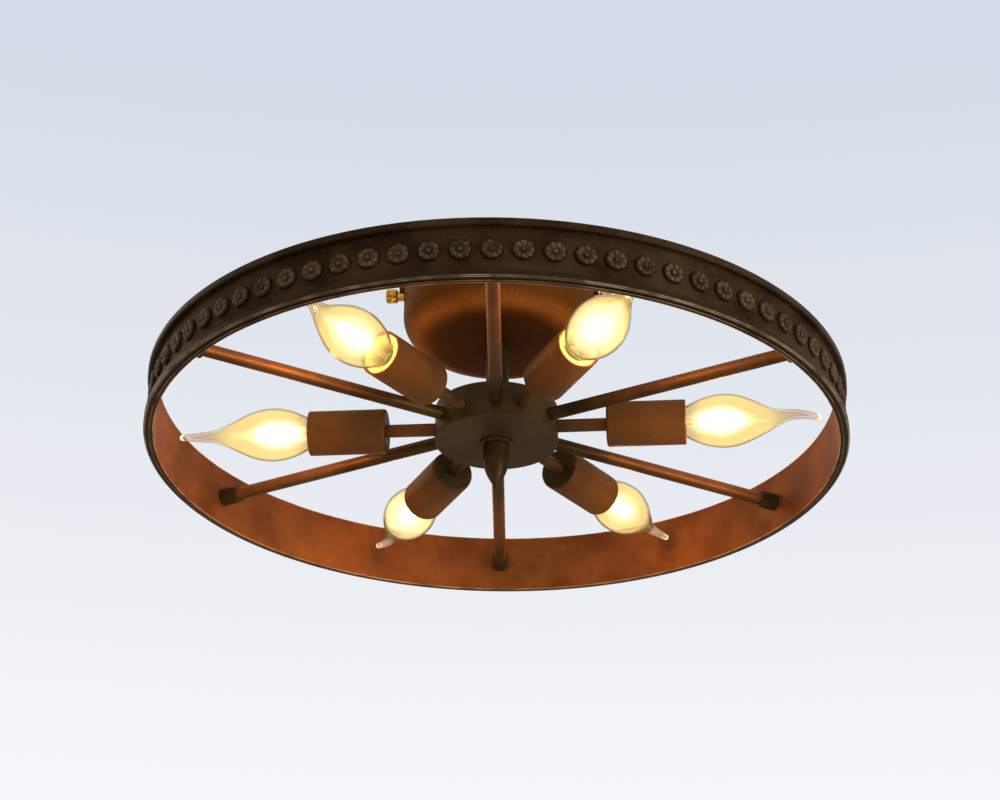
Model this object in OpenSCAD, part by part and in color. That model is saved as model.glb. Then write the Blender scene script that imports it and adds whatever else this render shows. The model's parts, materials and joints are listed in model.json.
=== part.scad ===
// Wagon wheel ceiling light with six bent-tip candle lamps.
// Millimetres, +Z up. The origin is on the ceiling, on the axis of the wheel, and the light hangs
// below it. The wheel's rods lie 30 degrees either side of the X axis and along Y.

/* [Overall] */
// Diameter of the wheel over its two hoops
wheel_d = 480; // [440:5:640]
// Ceiling to the middle of the rim's height
wheel_drop = 114; // [100:1:180]

/* [Rim] */
// Height of the rolled band
rim_h = 43; // [36:1:60]
// Wall of the rolled band
band_t = 2.8; // [2.6:0.1:4]
// How far a hoop stands out of the band
hoop_out = 4; // [3:0.5:6]
// Height of a hoop
hoop_h = 5; // [4:0.5:7]
// How far a hoop stays in from the band's edge
hoop_inset = 0.8; // [0:0.1:2]
// Rosettes round the band
rosette_count = 78; // [60:6:84]
// Diameter of a rosette
rosette_d = 14.5; // [10:0.5:15]
// How far a rosette stands out of the band
rosette_h = 2.8; // [1.5:0.1:3.5]

/* [Spokes] */
// Diameter of a spoke
spoke_d = 9; // [8.5:0.5:12]
// Bore of a spoke, which takes the thread of its rim screw
spoke_bore = 5; // [4:0.5:5.5]
// Wall of the collar at a spoke's rim end
collar_t = 1.8; // [1:0.1:4]
// Length of that collar
collar_len = 14; // [8:1:24]
// Length of a rim screw
rim_screw_len = 18; // [10:1:30]

/* [Hub] */
// Diameter of the drum
hub_d = 85; // [80:1:110]
// Height of the drum above the middle of the rim
hub_above = 14.5; // [13:0.5:30]
// Height of the drum and its cover below the middle of the rim
hub_below = 11.5; // [11:0.5:20]
// Wall of the drum
hub_wall = 2.5; // [1.5:0.1:4]
// Thickness of the drum's bottom cover
cover_t = 1.5; // [1:0.1:3]
// Diameter of the threaded ends of the spokes and arms
thread_d = 8; // [6:0.5:8]
// Width across flats of the nuts on those ends
nut_af = 13; // [12:0.5:14]
// Height of those nuts
nut_h = 5; // [3:0.5:6.5]

/* [Finial] */
// Diameter of the finial's foot
finial_foot_d = 23; // [20:1:40]
// Diameter of the finial's body
finial_body_d = 18; // [14:1:30]
// Height of the finial
finial_h = 34.5; // [30:0.5:60]

/* [Canopy] */
// Diameter of the canopy's side wall
canopy_d = 134; // [120:1:180]
// Height of the canopy
canopy_h = 50; // [36:1:80]
// Diameter of its flat bottom
canopy_flat_d = 84; // [50:1:100]
// Height of its rounded shoulder
shoulder_h = 22; // [8:1:24]
// Sheet that the canopy is pressed from
canopy_t = 1.2; // [0.8:0.1:2]
// How far the lip at the ceiling stands out
lip_out = 4; // [1:0.5:8]
// Height of that lip
lip_h = 3; // [1.5:0.5:6]
// Diameter of the sleeve between canopy and hub
neck_d = 16; // [13:0.5:30]

/* [Ceiling bracket] */
// Width of the bracket's strip
bracket_w = 25; // [20:1:40]
// Thickness of that strip
bracket_t = 2; // [1.5:0.1:3]
// Distance between the slots' centres
slot_spacing = 66; // [60:1:74]
// Length of a slot, end to end
slot_len = 16; // [10:1:18]
// Width of a slot
slot_w = 5.2; // [4:0.1:7]
// Ceiling to the side screws that hold the canopy
side_screw_drop = 10; // [9:0.5:14]
// Diameter of a side screw's thread
side_screw_d = 4; // [3:0.5:5]
// Diameter of a side screw's knob
knob_d = 10; // [8:0.5:12]
// Length of that knob
knob_len = 9; // [5:0.5:14]

/* [Centre tube] */
// Diameter of the threaded tube that carries the wheel
tube_d = 10; // [9:0.5:11]
// Bore of that tube, for the wires
tube_bore = 7; // [4:0.5:7.5]
// Width across flats of its nuts
tube_nut_af = 14; // [13:0.5:16]
// Height of its nuts
tube_nut_h = 3; // [2:0.5:4]

/* [Lamps] */
// Turn of the lamps from midway between the spokes
lamp_turn = -5; // [-5:0.5:5]
// Gap between a bulb's tip and the rim
tip_gap = 11.2; // [10.5:0.1:30]
// Diameter of a lamp's arm
arm_d = 9; // [8.5:0.5:12]
// Bore of an arm, for the wires
arm_bore = 5; // [3:0.5:6]
// Diameter of the cup round a lampholder
cup_d = 31; // [30:0.5:40]
// Length of that cup
cup_len = 54; // [50:1:60]
// Wall of that cup
cup_t = 1; // [0.6:0.1:1.4]
// Radius of the cup's back corner
cup_corner = 2; // [1.5:0.5:5]
// Bulb's end contact to the cup's mouth
mouth_at = 30; // [26:0.5:34]

/* [Bulbs] */
// Length of a bulb, end contact to tip
bulb_len = 122; // [112:1:124]
// Diameter of the glass
glass_d = 37; // [32:0.5:40]
// Wall of the glass
glass_t = 0.8; // [0.6:0.1:1.2]
// End contact to the widest part of the glass
belly_at = 56; // [50:1:60]
// End contact to where the tail begins
tail_at = 104; // [98:1:106]
// Diameter of the tail where it begins
tail_d = 7.2; // [5:0.2:9]
// Diameter of the tail near its tip
tip_d = 4.4; // [3:0.2:5]
// How far the tail bends off the bulb's axis
tail_bend = 3.3; // [0:0.1:6]
// Diameter of the cap's thread
cap_d = 13.8; // [13:0.1:14]
// Length of the cap
cap_len = 24; // [22:0.5:25]
// Rise of the cap's thread in one turn
thread_pitch = 2.822; // [2.5:0.001:3]
// Turns to unscrew a bulb
unscrew_turns = 3; // [1:0.5:3]

/* [Hidden] */
$fn = 96;

fit = 0.1;       // radial clearance round fixed pieces
run_fit = 0.08;  // radial clearance of a thread or a sliding pin
seat = 0.1;      // end clearance against a curved wall
over = 1;        // how far a cutter runs past the face it cuts

// Wheel
count = 6;
step = 360 / count;
band_out = wheel_d / 2 - hoop_out;
band_in = band_out - band_t;
hoop_edge = 0.8;                    // bevel on a hoop's outer edges
rim_seam = 0.15;                    // gap under a hoop and under a rosette
sink_depth = 2;                     // countersink of a rim screw, as deep as it is wide each side
function spoke_angle(k) = step * (k - 0.5);
function lamp_angle(k) = step * (k - 1) + lamp_turn;
// Where a flat end of this half width meets the inside of a round wall of radius r
function inside(r, half) = sqrt(r * r - half * half);

// Hub
hub_r = hub_d / 2;
hub_in = hub_r - hub_wall;
nut_face = inside(hub_in, nut_af / 2) - seat;
thread_start = nut_face - nut_h - 1.5;
shoulder = hub_r + seat;
drum_bottom = -hub_below + cover_t;
cover_ring_h = 1;
cover_ring_w = 2;

// Heights from the ceiling
hub_top = -wheel_drop + hub_above;
hub_bottom = -wheel_drop - hub_below;
finial_bore_depth = 10;
tube_top = -0.3;
tube_bottom = hub_bottom - finial_bore_depth + 0.5;

// Canopy
wall_r = canopy_d / 2;
flat_r = canopy_flat_d / 2;
lip_r = wall_r + lip_out;
shoulder_steps = 10;

// Bracket
ear_gap = 3;
ear_x = wall_r - canopy_t - ear_gap;
ear_drop = side_screw_drop + 7;
side_screw_in = 6;                  // how far a side screw reaches past the ear's outer face
block_size = [13, 22, 11];          // terminal block

// Lamp, as distances from the wheel's axis
tip_at = band_in - tip_gap;
contact_at = tip_at - bulb_len;
mouth = contact_at + mouth_at;
cup_back = mouth - cup_len;
arm_reach = 10;                     // threaded end of the arm inside cup and holder
arm_end = cup_back + arm_reach;

// Lampholder, as distances from the bulb's end contact
holder_back = cup_back + cup_t + fit - contact_at;
holder_front = cap_len + 4.5;       // a pale ring just inside the cup's mouth
holder_edge = 0.6;
holder_r = cup_d / 2 - cup_t - 0.6;
shell_floor = -2;
shell_end = cap_len - 6;
skirt_r = cap_d / 2 + 2.1;
pin_r = 2.4;
pin_head_r = 4;
pin_head_h = 1;
pin_len = 12;
travel = thread_pitch * unscrew_turns;
echo(unscrewing_travel = travel, turn_radians_per_mm = 2 * PI / thread_pitch);

// Bulb, as distances from its end contact
contact_h = 1;
contact_r = 3;
insulator_h = 2.5;
insulator_r = 3.6;
cap_r = cap_d / 2;
cap_wall = 0.5;
neck_r = cap_r - cap_wall - fit;
neck_from = cap_len - 6;
belly_r = glass_d / 2;
tail_r = tail_d / 2;
tip_r = tip_d / 2;
body_end = tail_at - 17;            // where the round body gives way to the bent tail
bend_from = body_end;
lower_power = 0.84;                 // fullness of the glass below its widest part
upper_power = 1.08;                 // fullness of the glass above it
body_steps = 12;
tail_steps = 12;
tail_sides = 16;
// Turn of each bulb about its own axis, which sets where its tail bends
bulb_roll = [180, 110, 310, 60, 140, 180];

// Radius of the glass at a distance z from the end contact
function glass_r(z) =
    z < cap_len ? neck_r :
    z < belly_at ? neck_r + (belly_r - neck_r)
        * pow(sin(90 * (z - cap_len) / (belly_at - cap_len)), lower_power) :
    z < tail_at ? tail_r + (belly_r - tail_r)
        * (1 + cos(180 * pow((z - belly_at) / (tail_at - belly_at), upper_power))) / 2 :
    tail_r + (tip_r - tail_r) * (z - tail_at) / (bulb_len - tail_at);
// How far the tail's centre lies off the axis
function bend(z) = z < bend_from ? 0 : tail_bend * sin(180 * (z - bend_from) / (bulb_len - bend_from));

// Filament support
stem_r = 2;
filament_r = 0.8;
filament_ring_r = 3.4;
filament_from = cap_len + 16;
filament_to = belly_at + 14;
star_h = 0.8;

module on_wheel(angle) {
    translate([0, 0, -wheel_drop])
        rotate([0, 0, angle])
            rotate([0, 90, 0])
                children();
}

module hex_nut(af, bore_r, h) {
    difference() {
        cylinder(h = h, d = af / cos(30), $fn = 6);
        translate([0, 0, -over])
            cylinder(h = h + 2 * over, r = bore_r);
    }
}

module tube(outer_r, bore_r, h) {
    difference() {
        cylinder(h = h, r = outer_r);
        translate([0, 0, -over])
            cylinder(h = h + 2 * over, r = bore_r);
    }
}

// ---- ceiling ----

module ceiling_bracket() {
    color("silver")
        difference() {
            union() {
                translate([-ear_x, -bracket_w / 2, -bracket_t])
                    cube([2 * ear_x, bracket_w, bracket_t]);
                for (side = [0, 1])
                    mirror([side, 0, 0])
                        translate([ear_x - bracket_t, -bracket_w / 2, -ear_drop])
                            cube([bracket_t, bracket_w, ear_drop]);
            }
            translate([0, 0, -bracket_t - over])
                cylinder(h = bracket_t + 2 * over, r = tube_d / 2 + fit);
            for (side = [0, 1])
                mirror([side, 0, 0]) {
                    translate([slot_spacing / 2, 0, -bracket_t - over])
                        slot_cutter();
                    translate([ear_x - bracket_t - over, 0, -side_screw_drop])
                        rotate([0, 90, 0])
                            cylinder(h = bracket_t + 2 * over, r = side_screw_d / 2 + fit / 2);
                }
        }
}

module slot_cutter() {
    straight = slot_len - slot_w;
    for (x = [-straight / 2, straight / 2])
        translate([x, 0, 0])
            cylinder(h = bracket_t + 2 * over, r = slot_w / 2);
    translate([-straight / 2, -slot_w / 2, 0])
        cube([straight, slot_w, bracket_t + 2 * over]);
}

// The rounded shoulder, on the outside or this much further in
function shoulder_points(inward) =
    [for (i = [0 : shoulder_steps])
        let (a = 90 * i / shoulder_steps)
            [flat_r - inward + (wall_r - flat_r) * cos(a),
                -(canopy_h - shoulder_h) - (shoulder_h - inward) * sin(a)]];

module canopy() {
    color("saddlebrown")
        difference() {
            rotate_extrude($fn = 144)
                polygon(concat(
                    [[0, 0], [lip_r, 0], [lip_r, -lip_h], [wall_r, -lip_h]],
                    shoulder_points(0),
                    [[0, -canopy_h]]));
            rotate_extrude($fn = 144)
                polygon(concat(
                    [[0, over], [wall_r - canopy_t, over]],
                    shoulder_points(canopy_t),
                    [[0, -canopy_h + canopy_t]]));
            translate([0, 0, -canopy_h - over])
                cylinder(h = canopy_t + 2 * over, r = tube_d / 2 + fit);
            for (side = [0, 1])
                mirror([side, 0, 0])
                    translate([wall_r - canopy_t - over, 0, -side_screw_drop])
                        rotate([0, 90, 0])
                            cylinder(h = canopy_t + 2 * over, r = side_screw_d / 2 + fit);
        }
}

module canopy_screws() {
    shank_in = ear_x - side_screw_in;
    collar_at = wall_r + seat;
    collar_r = side_screw_d / 2 + 1.6;
    head_at = lip_r + 0.5;
    knob_edge = 1.2;
    color("goldenrod")
        for (side = [0, 1])
            mirror([side, 0, 0])
                translate([0, 0, -side_screw_drop])
                    rotate([0, 90, 0])
                        rotate_extrude()
                            polygon([
                                [0, shank_in], [side_screw_d / 2, shank_in], [side_screw_d / 2, collar_at],
                                [collar_r, collar_at], [collar_r, head_at],
                                [knob_d / 2 - knob_edge, head_at], [knob_d / 2, head_at + knob_edge],
                                [knob_d / 2, head_at + knob_len - knob_edge],
                                [knob_d / 2 - knob_edge, head_at + knob_len], [0, head_at + knob_len]]);
}

module terminal_block() {
    wire_r = 1.6;
    screw_r = 1.4;
    pole_y = block_size[1] / 4;
    color("ivory")
        translate([ear_x - bracket_t - side_screw_in - block_size[0], -block_size[1] / 2,
                -bracket_t - block_size[2]])
            difference() {
                cube(block_size);
                for (i = [1 : 3]) {
                    translate([-over, i * pole_y, block_size[2] * 0.4])
                        rotate([0, 90, 0])
                            cylinder(h = block_size[0] + 2 * over, r = wire_r);
                    translate([block_size[0] / 2, i * pole_y, -over])
                        cylinder(h = block_size[2] * 0.4 + over, r = screw_r);
                }
            }
}

// ---- centre ----

module centre_tube() {
    wire_hole_r = 2.4;
    color("silver")
        difference() {
            translate([0, 0, tube_bottom])
                tube(tube_d / 2, tube_bore / 2, tube_top - tube_bottom);
            translate([0, 0, -wheel_drop])
                rotate([0, 90, 0])
                    cylinder(h = tube_d, r = wire_hole_r);
        }
}

module tube_nuts() {
    nut_r = tube_d / 2 + fit / 2;
    color("silver") {
        translate([0, 0, -bracket_t - tube_nut_h])
            hex_nut(tube_nut_af, nut_r, tube_nut_h);
        translate([0, 0, -canopy_h + canopy_t])
            hex_nut(tube_nut_af, nut_r, tube_nut_h);
        translate([0, 0, hub_top - hub_wall - tube_nut_h])
            hex_nut(tube_nut_af, nut_r, tube_nut_h);
    }
}

module neck_sleeve() {
    color("saddlebrown")
        translate([0, 0, hub_top])
            tube(neck_d / 2, tube_d / 2 + fit, -canopy_h - hub_top);
}

module hub_drum() {
    edge = 1;
    color("saddlebrown")
        difference() {
            translate([0, 0, -wheel_drop])
                rotate_extrude()
                    polygon([
                        [tube_d / 2 + fit, hub_above], [hub_r - edge, hub_above],
                        [hub_r, hub_above - edge], [hub_r, drum_bottom], [hub_in, drum_bottom],
                        [hub_in, hub_above - hub_wall], [tube_d / 2 + fit, hub_above - hub_wall]]);
            for (k = [1 : count]) {
                on_wheel(spoke_angle(k))
                    translate([0, 0, hub_in - over - hub_wall])
                        cylinder(h = 2 * hub_wall + 2 * over, r = thread_d / 2 + fit);
                on_wheel(lamp_angle(k))
                    translate([0, 0, hub_in - over - hub_wall])
                        cylinder(h = 2 * hub_wall + 2 * over, r = thread_d / 2 + fit);
            }
        }
}

module hub_cover() {
    edge = 0.8;
    color("saddlebrown")
        translate([0, 0, -wheel_drop])
            rotate_extrude()
                polygon([
                    [tube_d / 2 + fit, -hub_below], [hub_r - edge, -hub_below],
                    [hub_r, -hub_below + edge], [hub_r, drum_bottom],
                    [hub_in - fit, drum_bottom], [hub_in - fit, drum_bottom + cover_ring_h],
                    [hub_in - fit - cover_ring_w, drum_bottom + cover_ring_h],
                    [hub_in - fit - cover_ring_w, drum_bottom], [tube_d / 2 + fit, drum_bottom]]);
}

module hub_nuts() {
    color("silver")
        for (k = [1 : count]) {
            on_wheel(spoke_angle(k))
                translate([0, 0, nut_face - nut_h])
                    hex_nut(nut_af, thread_d / 2 + fit / 2, nut_h);
            on_wheel(lamp_angle(k))
                translate([0, 0, nut_face - nut_h])
                    hex_nut(nut_af, thread_d / 2 + fit / 2, nut_h);
        }
}

module finial() {
    foot_r = finial_foot_d / 2;
    body_r = finial_body_d / 2;
    foot_h = 2.5;
    edge = 0.6;
    nose_from = finial_bore_depth + 2;
    nose_h = finial_h - nose_from;
    color("saddlebrown")
        translate([0, 0, hub_bottom])
            difference() {
                rotate_extrude()
                    polygon(concat(
                        [[0, 0], [foot_r - edge, 0], [foot_r, -edge], [foot_r, -foot_h + edge],
                            [foot_r - edge, -foot_h], [body_r - edge, -foot_h], [body_r, -foot_h - edge]],
                        [for (a = [0 : 7.5 : 75])
                            [body_r * pow(cos(a), 2), -nose_from - nose_h * sin(a)]],
                        [[0, -finial_h]]));
                translate([0, 0, -finial_bore_depth])
                    cylinder(h = finial_bore_depth + over, r = tube_d / 2 + fit / 2);
            }
}

// ---- wheel ----

module rim_band() {
    color("sienna")
        difference() {
            translate([0, 0, -wheel_drop])
                rotate_extrude($fn = 192)
                    translate([band_in, -rim_h / 2])
                        square([band_t, rim_h]);
            for (k = [1 : count])
                on_wheel(spoke_angle(k)) {
                    translate([0, 0, band_in - over])
                        cylinder(h = band_t + 2 * over, r = spoke_bore / 2 + fit);
                    translate([0, 0, band_out - sink_depth])
                        cylinder(h = sink_depth + over, r1 = spoke_bore / 2,
                            r2 = spoke_bore / 2 + sink_depth + over);
                }
        }
}

module hoop(bottom) {
    outer = wheel_d / 2;
    inner = band_out + rim_seam;
    color("sienna")
        translate([0, 0, -wheel_drop + bottom])
            rotate_extrude($fn = 192)
                polygon([
                    [inner, 0], [outer - hoop_edge, 0], [outer, hoop_edge],
                    [outer, hoop_h - hoop_edge], [outer - hoop_edge, hoop_h], [inner, hoop_h]]);
}

module rosettes() {
    r = rosette_d / 2;
    h = rosette_h;
    color("sienna")
        for (k = [1 : count])
            for (i = [0 : rosette_count / count - 1])
                on_wheel(spoke_angle(k) + i * 360 / rosette_count)
                    translate([0, 0, band_out + rim_seam])
                        rotate_extrude($fn = 32)
                            polygon([
                                [0, 0], [r, 0], [r, h * 0.35], [r - 0.8, h * 0.6], [r * 0.72, h * 0.55],
                                [r * 0.5, h * 0.85], [r * 0.3, h * 0.6], [r * 0.22, h * 0.95], [0, h]]);
}

module rim_collars() {
    collar_r = spoke_d / 2 + collar_t;
    color("sienna")
        for (k = [1 : count])
            on_wheel(spoke_angle(k))
                translate([0, 0, inside(band_in, collar_r) - seat - collar_len])
                    tube(collar_r, spoke_d / 2 + fit, collar_len);
}

module rim_screws() {
    shank_r = spoke_bore / 2 - fit / 2;
    head_r = spoke_bore / 2 + sink_depth - 3 * fit;
    head_at = band_out - fit;
    color("silver")
        for (k = [1 : count])
            on_wheel(spoke_angle(k))
                translate([0, 0, head_at - rim_screw_len])
                    rotate_extrude($fn = 48)
                        polygon([
                            [0, 0], [shank_r, 0], [shank_r, rim_screw_len - head_r + shank_r],
                            [head_r, rim_screw_len], [0, rim_screw_len]]);
}

module spoke(k) {
    rim_end = inside(band_in, spoke_d / 2) - seat;
    color("sienna")
        on_wheel(spoke_angle(k))
            difference() {
                union() {
                    translate([0, 0, thread_start])
                        cylinder(h = shoulder - thread_start + over, d = thread_d);
                    translate([0, 0, shoulder])
                        cylinder(h = rim_end - shoulder, d = spoke_d);
                }
                translate([0, 0, thread_start - over])
                    cylinder(h = rim_end - thread_start + 2 * over, d = spoke_bore);
            }
}

// ---- lamps ----

module lamp_arms() {
    color("sienna")
        for (k = [1 : count])
            on_wheel(lamp_angle(k))
                difference() {
                    union() {
                        translate([0, 0, thread_start])
                            cylinder(h = arm_end - thread_start, d = thread_d);
                        translate([0, 0, shoulder])
                            cylinder(h = cup_back - shoulder, d = arm_d);
                    }
                    translate([0, 0, thread_start - over])
                        cylinder(h = arm_end - thread_start + 2 * over, d = arm_bore);
                }
}

function corner_points(r, corner, back) =
    [for (a = [0 : 15 : 90]) [r - corner + corner * sin(a), back + corner - corner * cos(a)]];

module cup(k) {
    r = cup_d / 2;
    lip = 0.4;
    color("sienna")
        on_wheel(lamp_angle(k))
            translate([0, 0, cup_back])
                rotate_extrude()
                    polygon(concat(
                        [[thread_d / 2 + fit, 0]],
                        corner_points(r, cup_corner, 0),
                        [[r, cup_len - lip], [r - lip, cup_len], [r - cup_t, cup_len]],
                        [for (i = [6 : -1 : 0]) corner_points(r - cup_t, cup_corner - cup_t * 0.5, cup_t)[i]],
                        [[thread_d / 2 + fit, cup_t]]));
}

module lampholder(k) {
    chamfer = cup_corner + 0.5;
    color("ivory")
        on_wheel(lamp_angle(k))
            translate([0, 0, contact_at])
                rotate_extrude()
                    polygon([
                        [thread_d / 2 + fit / 2, holder_back], [holder_r - chamfer, holder_back],
                        [holder_r, holder_back + chamfer], [holder_r, holder_front - holder_edge],
                        [holder_r - holder_edge, holder_front], [glass_r(holder_front) + 1, holder_front],
                        [skirt_r, cap_len + 1], [skirt_r, shell_end],
                        [cap_r + run_fit, shell_end], [cap_r + run_fit, shell_floor],
                        [pin_r + run_fit, shell_floor], [pin_r + run_fit, arm_end - contact_at + fit],
                        [thread_d / 2 + fit / 2, arm_end - contact_at + fit]]);
}

module contact_pin(k) {
    color("goldenrod")
        on_wheel(lamp_angle(k))
            translate([0, 0, contact_at - pin_head_h]) {
                cylinder(h = pin_head_h, r = pin_head_r);
                translate([0, 0, -pin_len])
                    cylinder(h = pin_len + pin_head_h / 2, r = pin_r);
            }
}

module bulb_cap(k) {
    thread_from = contact_h + insulator_h;
    inner = cap_r - cap_wall;
    color("goldenrod")
        on_wheel(lamp_angle(k))
            translate([0, 0, contact_at])
                rotate_extrude()
                    polygon([
                        [0, 0], [contact_r, 0], [contact_r, contact_h], [insulator_r, contact_h],
                        [cap_r - 0.6, thread_from], [cap_r, thread_from + 0.6], [cap_r, cap_len],
                        [inner, cap_len], [inner, thread_from + 1.5], [0, thread_from + 1.5]]);
}

function ring_points(z, r) =
    [for (i = [0 : tail_sides - 1])
        let (a = 360 * i / tail_sides)
            [bend(z) + r * cos(a), r * sin(a), z]];

// The bent tail: a tapering tube's outline swept along its curve and closed at both ends
module tail() {
    zs = concat(
        [for (i = [0 : tail_steps]) body_end + (bulb_len - tip_r - body_end) * i / tail_steps],
        [bulb_len - tip_r * 0.35]);
    rs = concat(
        [for (i = [0 : tail_steps]) glass_r(zs[i])],
        [tip_r * 0.75]);
    rings = len(zs);
    points = concat(
        [for (i = [0 : rings - 1]) each ring_points(zs[i], rs[i])],
        [[bend(body_end), 0, body_end], [bend(bulb_len), 0, bulb_len]]);
    start = rings * tail_sides;
    polyhedron(points = points, faces = concat(
        [for (i = [0 : rings - 2]) for (j = [0 : tail_sides - 1])
            let (a = i * tail_sides + j, b = i * tail_sides + (j + 1) % tail_sides)
                [a, a + tail_sides, b]],
        [for (i = [0 : rings - 2]) for (j = [0 : tail_sides - 1])
            let (a = i * tail_sides + j, b = i * tail_sides + (j + 1) % tail_sides)
                [b, a + tail_sides, b + tail_sides]],
        [for (j = [0 : tail_sides - 1]) [start, j, (j + 1) % tail_sides]],
        [for (j = [0 : tail_sides - 1])
            [start + 1, (rings - 1) * tail_sides + (j + 1) % tail_sides, (rings - 1) * tail_sides + j]]));
}

module bulb_glass(k) {
    cavity_end = body_end - 4;
    zs_out = concat(
        [neck_from],
        [for (i = [0 : body_steps]) cap_len + (belly_at - cap_len) * pow(i / body_steps, 1.5)],
        [for (i = [1 : body_steps]) belly_at + (body_end - belly_at) * i / body_steps]);
    zs_in = concat(
        [neck_from],
        [for (i = [0 : body_steps]) cap_len + (belly_at - cap_len) * pow(i / body_steps, 1.5)],
        [for (i = [1 : body_steps]) belly_at + (cavity_end - belly_at) * i / body_steps]);
    last = len(zs_in) - 1;
    color([1, 0.85, 0.55, 0.5])
        on_wheel(lamp_angle(k))
            translate([0, 0, contact_at])
                rotate([0, 0, bulb_roll[k - 1]]) {
                    rotate_extrude()
                        polygon(concat(
                            [for (z = zs_out) [glass_r(z), z]],
                            [[0, body_end], [0, cavity_end]],
                            [for (i = [last : -1 : 0]) [glass_r(zs_in[i]) - glass_t, zs_in[i]]]));
                    tail();
                }
}

module filament(k) {
    flare_h = 1.2;
    color("gold")
        on_wheel(lamp_angle(k))
            translate([0, 0, contact_at]) {
                translate([0, 0, neck_from])
                    cylinder(h = flare_h, r = neck_r - glass_t - fit);
                translate([0, 0, neck_from])
                    cylinder(h = filament_from - neck_from + star_h / 2, r = stem_r);
                translate([0, 0, filament_from])
                    cylinder(h = star_h, r = filament_ring_r + filament_r);
                translate([0, 0, filament_to - star_h])
                    cylinder(h = star_h, r = filament_ring_r + filament_r);
                for (a = [0 : 90 : 270])
                    rotate([0, 0, a])
                        translate([filament_ring_r - 0.2, 0, filament_from + star_h / 2])
                            cylinder(h = filament_to - filament_from - star_h, r = filament_r, $fn = 24);
            }
}

ceiling_bracket();
canopy();
canopy_screws();
terminal_block();
centre_tube();
tube_nuts();
neck_sleeve();
hub_drum();
hub_cover();
hub_nuts();
finial();
rim_band();
hoop(rim_h / 2 - hoop_inset - hoop_h);  // upper_hoop
hoop(-rim_h / 2 + hoop_inset);  // lower_hoop
rosettes();
rim_collars();
rim_screws();
lamp_arms();
for (k = [1 : count]) {
    spoke(k);
    cup(k);
    lampholder(k);
    contact_pin(k);
    bulb_cap(k);
    bulb_glass(k);
    filament(k);
}
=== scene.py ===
import json
import math
import random

import bpy
from bpy.props import FloatProperty, FloatVectorProperty, IntProperty, PointerProperty
from mathutils import Matrix, Vector


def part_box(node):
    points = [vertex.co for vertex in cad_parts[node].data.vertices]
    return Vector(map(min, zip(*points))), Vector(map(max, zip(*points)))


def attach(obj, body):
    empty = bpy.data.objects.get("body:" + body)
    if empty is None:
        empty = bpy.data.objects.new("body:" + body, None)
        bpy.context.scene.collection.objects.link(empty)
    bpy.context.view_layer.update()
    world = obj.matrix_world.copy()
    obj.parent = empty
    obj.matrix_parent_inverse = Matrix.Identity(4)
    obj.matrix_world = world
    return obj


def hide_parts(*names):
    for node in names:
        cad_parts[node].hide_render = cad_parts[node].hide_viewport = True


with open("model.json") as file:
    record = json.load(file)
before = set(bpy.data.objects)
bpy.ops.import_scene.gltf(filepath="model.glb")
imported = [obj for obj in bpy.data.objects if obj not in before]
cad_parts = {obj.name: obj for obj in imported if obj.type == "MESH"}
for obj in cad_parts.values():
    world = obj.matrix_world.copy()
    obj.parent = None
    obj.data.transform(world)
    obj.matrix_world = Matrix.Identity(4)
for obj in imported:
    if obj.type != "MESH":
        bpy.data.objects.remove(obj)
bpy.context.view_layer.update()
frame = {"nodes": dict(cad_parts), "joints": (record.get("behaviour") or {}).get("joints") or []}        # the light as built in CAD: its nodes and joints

bl_info = {
    "name": "Wagon Wheel Light",
    "version": (1, 0, 0),
    "blender": (4, 5, 0),
    "location": "3D View > Sidebar > Wheel Light",
    "description": "Finishes and fine pieces for a wagon wheel ceiling light with six lamps",
    "category": "Object",
}

NODES = frame["nodes"]
LAMPS = range(1, 7)
MM = 0.001
ORIGIN = Matrix.Identity(4)


# ---------------------------------------------------------------- places, from the CAD

BAND_LOW, BAND_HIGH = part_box("rim_band")
WHEEL_Z = (BAND_LOW.z + BAND_HIGH.z) / 2
BAND_R = BAND_HIGH.x
BAND_INSIDE = BAND_R - 2.8 * MM
HOOP_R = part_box("lower_hoop")[1].x
ROSETTE_LOW, ROSETTE_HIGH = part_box("rosettes")
SCREW_LOW, SCREW_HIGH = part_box("canopy_screws")
TURNS = {joint["child"]: joint for joint in frame["joints"] if joint["type"] == "hinge"}
# Degrees that each bulb is turned about its own axis, which sets the way its tail bends
TAIL_TURN = dict(zip(LAMPS, (180, 110, 310, 60, 140, 180)))

# Places along a bulb's axis, from its end contact to its tip
NECK_FROM = 18 * MM
CAP_LENGTH = 24 * MM
STICKS_FROM, STICKS_TO = 40 * MM, 70 * MM
BELLY_AT = 56 * MM
BEND_FROM = 87 * MM
BORE_FROM = 88 * MM
TAIL_AT = 104 * MM
HOLLOW_END = 113 * MM
BULB_LENGTH = 122 * MM
CAP_R = 6.88 * MM
NECK_R = 6.3 * MM


def lamp_place(k, turn=0):
    """From a lamp's own axes to the light's: its end contact at the origin, its tip along +Z."""
    joint = TURNS[f"bulb_{k}"]
    along = Vector(joint["axis"]).normalized()
    down = Vector((0, 0, -1))
    axes = Matrix((down, along.cross(down), along)).transposed().to_4x4()
    spin = Matrix.Rotation(math.radians(turn), 4, "Z")
    return Matrix.Translation(Vector(joint["pos_m"])) @ axes @ spin


# ---------------------------------------------------------------- settings

def srgb(red, green, blue):
    """A colour as a picture shows it, from 0 to 255, as the linear colour that a shader takes."""
    def linear(value):
        value /= 255
        return value / 12.92 if value <= 0.04045 else ((value + 0.055) / 1.055) ** 2.4
    return tuple(linear(value) for value in (red, green, blue))


def length(name, text, default, low, high):
    """A length setting, given in millimetres."""
    return FloatProperty(name=name, description=text, default=default * MM, min=low * MM,
                         max=high * MM, subtype="DISTANCE", unit="LENGTH", precision=4)


def distance(name, text, default, low, high):
    """A distance setting, given in metres."""
    return FloatProperty(name=name, description=text, default=default, min=low, max=high,
                         subtype="DISTANCE", unit="LENGTH")


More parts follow.
